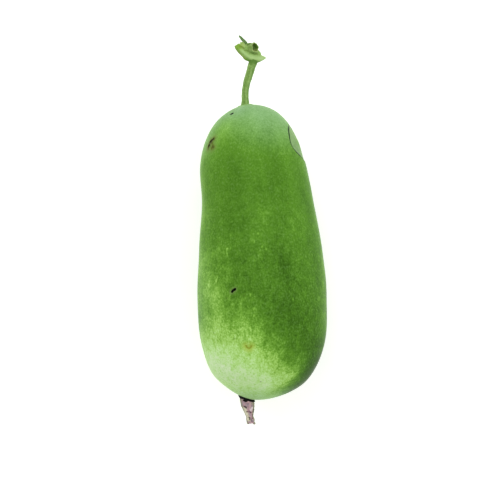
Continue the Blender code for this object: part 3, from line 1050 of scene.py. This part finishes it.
def make_flower():
    """The withered flower, folded and crumpled, open at its ragged mouth."""
    around = full_circle(FLOWER_SIDES)
    stations = smooth_path(FLOWER_PROFILE, FLOWER_STEPS)[1:-1]
    rings = [flower_ring(along, max(radius, LEAST_RADIUS), around) for along, radius in stations]
    flower = mesh_object("withered_flower_petals", skin_over(rings))
    along = np.concatenate([np.repeat(stations[:, 0], FLOWER_SIDES), stations[[0, -1], 0]])
    points, normals = read_points(flower), read_normals(flower)
    creased = sum(share * crumple(points, size, seed) for share, size, seed in CRUMPLES)
    relief = (CRUMPLED_HEIGHT * creased - CRUMPLED_BASE) * smooth_share(along, *CRUMPLED_REACH)
    points += normals * (relief + unevenness(points, PETAL_WAVES))[:, None]
    write_points(flower, points)
    values = {name: distance_on_top(points, pixels) for name, pixels in FLOWER_MARKS.items()}
    values["dark"] = distance_to_strokes(points, FLOWER_DARK_STROKES, distance_on_top)
    values["flank"] = np.abs(np.cos(np.append(np.tile(around, len(stations)), (0, 0))))
    keep_values(flower, values | {"along": along, "creased": creased})
    return flower


# Materials


def colour(red, green, blue):
    """A colour from 8-bit sRGB values."""
    return (*(((channel / 255 + 0.055) / 1.055) ** 2.4 for channel in (red, green, blue)), 1)


SOFT_GREEN = colour(242, 255, 232)
SHEEN_ROUGHNESS = 0.28


class Look:
    """A material. Each method adds a node, and hands back its result or lays it over the base."""

    def __init__(self, name):
        self.material = bpy.data.materials.new(name)
        self.material.use_nodes = True
        self.tree = self.material.node_tree
        self.shader = self.tree.nodes["Principled BSDF"]
        self.base = None

    def feed(self, socket, value):
        """Links a result to a socket, or sets the socket's own value."""
        if isinstance(value, bpy.types.NodeSocket):
            self.tree.links.new(value, socket)
        else:
            socket.default_value = value

    def add(self, kind, inputs, **settings):
        """Any node."""
        node = self.tree.nodes.new("ShaderNode" + kind)
        for name, value in settings.items():
            setattr(node, name, value)
        for name, value in inputs.items():
            self.feed(node.inputs[name], value)
        return node

    def place(self):
        """The place on the object."""
        return self.add("TexCoord", {}).outputs["Object"]

    def value(self, name):
        """A number that the mesh keeps for each point."""
        return self.add("Attribute", {}, attribute_name=name).outputs["Fac"]

    def vector(self, name):
        """A vector that the mesh keeps for each point."""
        return self.add("Attribute", {}, attribute_name=name).outputs["Vector"]

    def times(self, first, second):
        """The product of two numbers."""
        return self.add("Math", {0: first, 1: second}, operation="MULTIPLY").outputs[0]

    def weigh(self, *terms):
        """The sum of results, each times its weight."""
        total = 0.0
        for value, weight in terms:
            total = self.add("Math", {0: value, 1: weight, 2: total}, operation="MULTIPLY_ADD").outputs[0]
        return total

    def centred(self, pattern, height):
        """A pattern moved to lie around 0, this high in all."""
        return self.weigh((pattern, height), (-1.0, height / 2))

    def rise(self, value, start, end, low=0.0, high=1.0):
        """Goes smoothly from low to high as the value goes from start to end."""
        inputs = {"Value": value, "From Min": start, "From Max": end, "To Min": low, "To Max": high}
        return self.add("MapRange", inputs, interpolation_type="SMOOTHSTEP").outputs["Result"]

    def stretch(self, place, scale, turn=0.0):
        """Places turned about Z and then stretched, for a pattern with a direction."""
        inputs = {"Vector": place, "Scale": scale, "Rotation": (0, 0, turn)}
        return self.add("Mapping", inputs).outputs["Vector"]

    def noise(self, place, scale, detail=3.0, roughness=0.55, distortion=0.0):
        """A cloudy pattern around 0.5."""
        inputs = {"Vector": place, "Scale": scale, "Detail": detail, "Roughness": roughness}
        return self.add("TexNoise", inputs | {"Distortion": distortion}).outputs["Fac"]

    def cells(self, place, scale):
        """Scattered cells: distance from each one's middle, and a number of its own."""
        node = self.add("TexVoronoi", {"Vector": place, "Scale": scale})
        own = self.add("SeparateColor", {"Color": node.outputs["Color"]}).outputs["Red"]
        return node.outputs["Distance"], own

    def ramp(self, value, stops):
        """Makes a row of colours the base."""
        node = self.add("ValToRGB", {"Fac": value})
        elements = node.color_ramp.elements
        for _ in stops[2:]:
            elements.new(1)
        for element, (position, shade) in zip(elements, stops):
            element.position = position
            element.color = colour(*shade)
        self.base = node.outputs["Color"]

    def coat(self, share, shade):
        """Lays this share of a colour over the base."""
        node = self.add("Mix", {}, data_type="RGBA")
        for index, value in ((0, share), (6, self.base), (7, colour(*shade))):
            self.feed(node.inputs[index], value)
        self.base = node.outputs[2]

    def coat_marks(self, ragged, marks):
        """Colours each mark round its own attribute, with this unevenness at its edge."""
        for name, raggedness, start, full, share, shade in marks:
            distance = self.weigh((self.value(name), 1.0), (ragged, raggedness))
            self.coat(self.rise(distance, start, full, 0, share), shade)

    def bump(self, height, distance, strength=1.0, normal=None):
        """A fine relief."""
        inputs = {"Height": height, "Distance": distance, "Strength": strength}
        return self.add("Bump", inputs | ({"Normal": normal} if normal else {})).outputs["Normal"]

    def finish(self, roughness, normal=None, gloss=0.4, sheen=0.0):
        """Feeds the shader and hands back the material."""
        inputs = self.shader.inputs
        self.feed(inputs["Base Color"], self.base)
        self.feed(inputs["Roughness"], roughness)
        if normal:
            self.feed(inputs["Normal"], normal)
        inputs["Specular IOR Level"].default_value = gloss
        inputs["Sheen Weight"].default_value = sheen
        inputs["Sheen Roughness"].default_value = SHEEN_ROUGHNESS
        inputs["Sheen Tint"].default_value = SOFT_GREEN
        return self.material


# The skin's ramp of colours, where on it a tone of 1 lies, and how much tone the bands add.
SKIN_TONES = (
    (0.00, (52, 92, 16)),
    (0.14, (70, 117, 26)),
    (0.28, (88, 139, 37)),
    (0.42, (119, 172, 60)),
    (0.56, (160, 209, 98)),
    (0.70, (187, 231, 142)),
    (1.00, (226, 243, 208)),
)
RAMP_SHARE = 0.7
BAND_TONE = 0.03

# The skin's patterns: how each is stretched, its scale, detail, roughness and distortion.
STREAKS = ((1, 1, 0.35), 4.5, 4, 0.6, 0)
CLOUDS = ((1, 0.8, 1), 60, 3, 0.5, 0)
MOTTLE = ((1, 0.7, 1), 190, 4, 0.6, 0.5)
GRAIN = ((1, 0.8, 1), 700, 3, 0.65, 0)
FLECK_STRETCH = (1, 0.62, 1)
FLECK_SCALE = 300

# The colours round marks: attribute, raggedness, where the colour starts and is full, share, colour.
SKIN_COATS = (
    ("faint", 0.0, 0.0012, 0.0003, 0.45, (70, 92, 30)),
    ("collar", 0.0, 0.0085, 0.0050, 0.5, (150, 190, 112)),
    ("slit", 0.8, 0.0034, 0.0016, 0.45, (120, 142, 82)),
    ("slit", 0.8, 0.0013, 0.0009, 1.0, (4, 8, 0)),
    ("scar", 0.0, 0.0070, 0.0012, 0.7, (114, 136, 66)),
    ("scar", 1.5, 0.0034, 0.0012, 0.7, (84, 88, 8)),
    ("scar", 1.5, 0.0017, 0.0006, 0.9, (30, 32, 0)),
    ("speck", 1.0, 0.0020, 0.0012, 1.0, (2, 10, 0)),
    ("spot", 0.0, 0.0056, 0.0008, 0.5, (170, 188, 70)),
    ("spot", 1.0, 0.0012, 0.0003, 0.7, (132, 138, 30)),
)
# Painted shadow of the vine: darker green at the stalk's top.
STALK_SHADOW_COATS = (("top", 1.0, 0.0055, 0.0020, 0.8, (74, 116, 30)),)
VINE_COATS = (
    # A painted highlight along the vine's front, then painted shade along its lower edge.
    ("painted_highlight_band", 1.0, 0.0028, 0.0006, 0.75, (172, 204, 132)),
    ("shaded_lower_edge", 1.0, 0.0036, 0.0010, 0.80, (96, 140, 40)),
    ("brown_edge", 1.0, 0.0028, 0.0008, 0.65, (122, 142, 46)),
    ("cut", 1.0, 0.0048, 0.0018, 0.85, (122, 164, 44)),
    ("tip", 1.0, 0.0046, 0.0008, 0.70, (178, 208, 142)),
    ("bud_top", 1.0, 0.0018, 0.0008, 0.55, (166, 188, 112)),
    ("bud_crease", 1.0, 0.0010, 0.0003, 0.55, (112, 124, 44)),
    ("lump_crease", 1.0, 0.0010, 0.0003, 0.60, (104, 128, 52)),
    ("lump_folds", 1.0, 0.0018, 0.0006, 0.50, (98, 136, 52)),
    # Painted shade in the nook by the tendril.
    ("shaded_nook", 1.0, 0.0018, 0.0006, 0.80, (78, 108, 38)),
)
FLOWER_COATS = (
    ("cream", 1.0, 0.0024, 0.0006, 0.85, (226, 224, 192)),
    # A painted highlight streak, near white.
    ("painted_highlight_streak", 1.0, 0.0015, 0.0004, 0.90, (234, 220, 222)),
    ("crease", 1.0, 0.0009, 0.0002, 0.85, (84, 40, 48)),
    ("dark", 1.0, 0.0012, 0.0003, 0.90, (50, 40, 36)),
    ("hole", 1.0, 0.0014, 0.0008, 1.00, (10, 12, 8)),
    ("along", 0.8, 0.0022, 0.0015, 1.00, (8, 14, 4)),
)
# The same inside the leaf stalk's hollow, without raggedness.
HOLLOW_COATS = (
    # Painted shade on the hollow's far wall.
    ("dark", 0.0032, 0.0012, 0.9, (74, 112, 34)),
    ("browned", 0.0026, 0.0010, 0.8, (140, 156, 84)),
)

# Where along its ramp a stem has its dark, middle and pale green.
STEM_STOPS = (0.28, 0.50, 0.72)
STALK_GREENS = ((78, 116, 40), (118, 154, 74), (156, 188, 112))
VINE_GREENS = ((110, 150, 56), (140, 176, 92), (168, 200, 124))
LEAF_STALK_GREENS = ((92, 128, 50), (126, 158, 80), (165, 192, 120))
TENDRIL_GREENS = ((74, 104, 54), (100, 132, 76), (136, 164, 110))
# The colours of the dry petals, by their patches.
PETAL_TONES = (
    (0.30, (112, 100, 104)),
    (0.42, (166, 154, 164)),
    (0.52, (204, 162, 168)),
    (0.62, (208, 194, 190)),
    (0.74, (230, 224, 206)),
)


def skin_pattern(look, place):
    """The skin's unevenness around 0, its fine grain and its mottling."""
    mottled = look.value("mottled")
    streaks = look.noise(look.stretch(look.vector("ball"), STREAKS[0]), *STREAKS[1:])
    clouds, mottle, grain = (
        look.noise(look.stretch(place, stretch), *rest) for stretch, *rest in (CLOUDS, MOTTLE, GRAIN)
    )
    distance, own = look.cells(look.stretch(place, FLECK_STRETCH), FLECK_SCALE)
    fleck = look.times(look.rise(distance, 0.45, 0.10), look.rise(own, 0.60, 0.95))
    strips = look.weigh((look.value("flecked"), 1.0), (look.rise(clouds, 0.4, 0.6), 0.4))
    blotched = look.weigh((look.centred(clouds, 0.30), 1.0), (look.centred(mottle, 0.46), 1.0))
    uneven = look.weigh(
        (look.centred(streaks, 0.24), 1.0),
        (look.times(look.centred(grain, 0.56), mottled), 1.0),
        (look.times(fleck, strips), 0.24),
        (look.times(blotched, look.weigh((mottled, 1.6), (-1.0, 0.7))), 1.0),
    )
    return uneven, grain, mottle


def coat_blemishes(look, place):
    """Colours the skin beyond the scratch, the scratch and the small blemishes."""
    ragged = look.centred(look.noise(place, 900, 3, 0.6), 0.0014)
    scratch = look.weigh((look.value("scratch"), 1.0), (ragged, 0.15), (look.noise(place, 160, 2), 0.0003))
    look.coat(look.times(look.value("beyond"), 0.14), (176, 174, 128))
    look.coat(look.rise(scratch, 0.00084, 0.00044), (16, 50, 0))
    look.coat_marks(ragged, SKIN_COATS)


def skin_look():
    """The fruit's skin: soft long bands and mottling, paler at the blossom end, waxy with painted sheen at
    the other.
    """
    look = Look("gourd_skin_look")
    place = look.place()
    uneven, grain, mottle = skin_pattern(look, place)
    terms = ((look.value("tone"), 1.0), (look.value("bands"), BAND_TONE), (uneven, 1.0))
    look.ramp(look.times(look.weigh(*terms), RAMP_SHARE), SKIN_TONES)
    look.coat(look.times(look.value("shade"), 0.75), (24, 52, 0))
    # Wax bloom with painted sheen: bluish pale at the shoulders, the side and the tip.
    look.coat(look.times(look.value("bloom_and_sheen"), look.weigh((0.5, 1.0), (uneven, 1.2))), (140, 177, 144))
    look.coat(look.rise(grain, 0.48, 0.85, 0, 0.08), (206, 214, 198))
    look.coat(look.rise(grain, 0.52, 0.15, 0, 0.22), (50, 84, 6))
    coat_blemishes(look, place)
    pores = look.noise(place, 1500, 2, 0.5)
    normal = look.bump(mottle, 0.00030, 0.30, look.bump(pores, 0.00006, 0.35))
    return look.finish(look.rise(mottle, 0.3, 0.7, 0.48, 0.60), normal, gloss=0.04, sheen=0.30)


def stem_look(name, greens, turn, ribbed=False):
    """The start of a green stem: fine lengthwise fibres, paler on its ribs, with small specks."""
    look = Look(name)
    place = look.place()
    fibres = look.noise(look.stretch(place, (1, 0.10, 1), turn), 1400, 4, 0.65)
    patches = look.noise(place, 420, 3, 0.6)
    ribs = look.value("ribs") if ribbed else 0.0
    shading = look.weigh((fibres, 0.6), (patches, 0.4), (ribs, 0.06))
    look.ramp(shading, tuple(zip(STEM_STOPS, greens)))
    distance, own = look.cells(place, 1900)
    speck = look.times(look.rise(distance, 0.40, 0.10), look.rise(own, 0.6, 1.0, 0, 0.7))
    look.coat(speck, greens[-1])
    return look, patches, look.bump(fibres, 0.00015, 0.6)


def stalk_look():
    """The fruit's stalk: pale ribs on grey-green, with painted shadow under the vine at its top."""
    look, patches, normal = stem_look("fruit_stalk_look", STALK_GREENS, 0, ribbed=True)
    look.coat_marks(look.centred(patches, 0.004), STALK_SHADOW_COATS)
    return look.finish(0.55, normal, gloss=0.2, sheen=0.3)


def vine_look():
    """The vine: pale green, with bright cut ends, a browned edge, a pale bud with a brown crease, a
    painted highlight along its front, and painted shade along its lower edge and in the nook.
    """
    look, patches, normal = stem_look("vine_look", VINE_GREENS, math.radians(60))
    look.coat_marks(look.centred(patches, 0.0012), VINE_COATS)
    return look.finish(0.55, normal, gloss=0.2, sheen=0.25)


def leaf_stalk_look():
    """The leaf stalk: green outside, with a pale rim, painted shade and then browned down its hollow."""
    look, patches, normal = stem_look("leaf_stalk_look", LEAF_STALK_GREENS, 0, ribbed=True)
    inside = look.value("inside")
    look.coat(look.rise(inside, 0.02, 0.10, 0, 0.6), (160, 184, 110))
    # Painted shade down the inside of the wall.
    look.coat(look.rise(inside, 0.15, 0.25, 0, 0.9), (104, 130, 46))
    browned = look.weigh((look.centred(patches, 0.6), 1.0), (inside, 1.0))
    look.coat(look.rise(browned, 0.55, 0.95, 0, 0.9), (134, 146, 78))
    hollow = look.rise(inside, 0.12, 0.20)
    for name, start, full, share, shade in HOLLOW_COATS:
        look.coat(look.times(look.rise(look.value(name), start, full, 0, share), hollow), shade)
    return look.finish(0.55, normal, gloss=0.2, sheen=0.2)


def tendril_look():
    """The tendril: dark grey-green and dull."""
    look, _, normal = stem_look("tendril_look", TENDRIL_GREENS, math.radians(40))
    return look.finish(0.65, normal, gloss=0.15, sheen=0.15)


def flower_look():
    """Dry papery petals, grey, pink and cream, with olive flanks and a painted highlight streak, on a
    black foot.
    """
    look = Look("withered_flower_look")
    place = look.place()
    patches = look.noise(place, 330, 4, 0.65, 0.8)
    fibres = look.noise(look.stretch(place, (1, 0.15, 1)), 1300, 3, 0.6)
    look.ramp(look.weigh((patches, 0.75), (fibres, 0.25)), PETAL_TONES)
    flank = look.weigh((look.value("flank"), 1.0), (look.centred(patches, 0.5), 1.0))
    look.coat(look.rise(flank, 0.55, 0.92, 0, 0.8), (134, 140, 104))
    look.coat(look.rise(look.value("creased"), 0.14, 0.02, 0, 0.6), (92, 68, 72))
    look.coat_marks(look.centred(look.noise(place, 700, 3, 0.65), 0.0028), FLOWER_COATS)
    return look.finish(0.85, look.bump(fibres, 0.00020, 0.8), gloss=0.15)


# The scene


# The floor lies just under the gourd, so that their faces don't share a plane.
FLOOR_HEIGHT = -0.0002
FLOOR_GLOW = 0.45
WORLD_STRENGTH = 0.55


def dress(piece, node, material):
    """Lets a piece stand for its node, with a material."""
    piece.data.materials.append(material)
    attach(piece, "root")
    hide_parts(node)


def add_area_light(name, place, size, power):
    """A soft square light that faces the gourd."""
    light = bpy.data.lights.new(name, "AREA")
    light.size = size
    light.energy = power
    obj = bpy.data.objects.new(name, light)
    obj.location = place
    obj.rotation_euler = (-Vector(place)).to_track_quat("-Z", "Y").to_euler()
    bpy.context.scene.collection.objects.link(obj)


def add_floor():
    """A plain pale floor."""
    form = bmesh.new()
    bmesh.ops.create_grid(form, x_segments=8, y_segments=8, size=3)
    floor = mesh_object("studio_floor", form)
    floor.location.z = FLOOR_HEIGHT
    look = Look("studio_floor_look")
    look.ramp(look.noise(look.place(), 40, 2), ((0.0, (236, 236, 234)), (1.0, (242, 242, 240))))
    look.feed(look.shader.inputs["Emission Color"], (1, 1, 1, 1))
    look.feed(look.shader.inputs["Emission Strength"], FLOOR_GLOW)
    floor.data.materials.append(look.finish(0.9))


def add_world():
    """An even white surround."""
    world = bpy.data.worlds.new("studio_white")
    world.use_nodes = True
    background = world.node_tree.nodes["Background"]
    background.inputs["Color"].default_value = (1, 1, 1, 1)
    background.inputs["Strength"].default_value = WORLD_STRENGTH
    bpy.context.scene.world = world


def add_camera():
    """The camera, which looks straight down as in the photograph."""
    camera = bpy.data.cameras.new("photo_camera")
    camera.lens = LENS_LENGTH
    camera.sensor_width = SENSOR_WIDTH
    camera.clip_start = 0.01
    obj = bpy.data.objects.new("photo_camera", camera)
    obj.location = CAMERA_PLACE
    bpy.context.scene.collection.objects.link(obj)
    bpy.context.scene.camera = obj


def build():
    """Dresses the frame and sets up the studio."""
    dress(make_fruit(), "gourd_fruit", skin_look())
    dress(make_stalk(), "fruit_stalk", stalk_look())
    dress(make_vine(), "vine_stub", vine_look())
    dress(make_leaf_stalk(), "leaf_stalk_stub", leaf_stalk_look())
    dress(make_tendril(), "tendril_stub", tendril_look())
    dress(make_flower(), "withered_flower", flower_look())
    add_floor()
    add_world()
    add_area_light("soft_key", (-0.5, 0.8, 1.2), 1.2, 9)
    add_area_light("soft_fill", (0.9, 0.2, 1.1), 1.4, 7)
    add_camera()
    bpy.context.scene.view_settings.view_transform = "Standard"


build()
